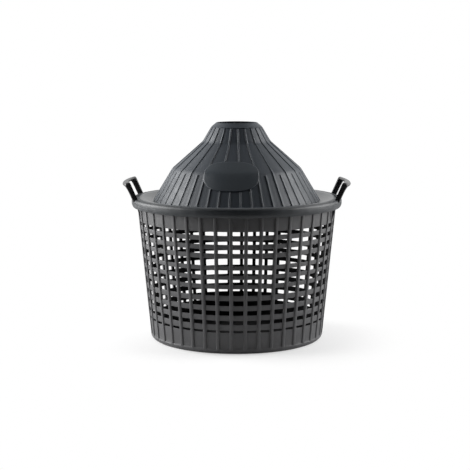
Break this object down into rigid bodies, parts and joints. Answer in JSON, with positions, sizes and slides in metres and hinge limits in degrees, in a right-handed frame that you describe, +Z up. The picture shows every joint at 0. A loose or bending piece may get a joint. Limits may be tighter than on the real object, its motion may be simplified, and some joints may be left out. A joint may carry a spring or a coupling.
{
  "type": "demijohn basket",
  "caption": "Round tapered lattice basket for a large glass demijohn, with two strap handles and a ribbed cone-shaped lid that lifts off and is open at the neck.",
  "frame": {"origin": "centre of the flat underside, on the surface the basket stands on", "axes": "+Z up, the two handles on the X axis, the bare plaque on the lid facing -Y, turned 4.1 degrees towards -X"},
  "size_m": [0.5672, 0.5236, 0.5391],
  "materials": {
    "basket_plastic": "moulded, satin, fine moulding texture",
    "lid_plastic": "moulded, satin",
    "handle_plastic": "moulded, smooth"
  },
  "bodies": {
    "basket_body": {"basket": "basket_plastic", "left_handle": "handle_plastic", "right_handle": "handle_plastic"},
    "lid_body": {"lid": "lid_plastic"}
  },
  "joints": [
    {"name": "lid_lift", "type": "slide", "parent": "basket_body", "child": "lid_body", "axis": [0, 0, 1], "range_m": [0, 0.25]}
  ]
}
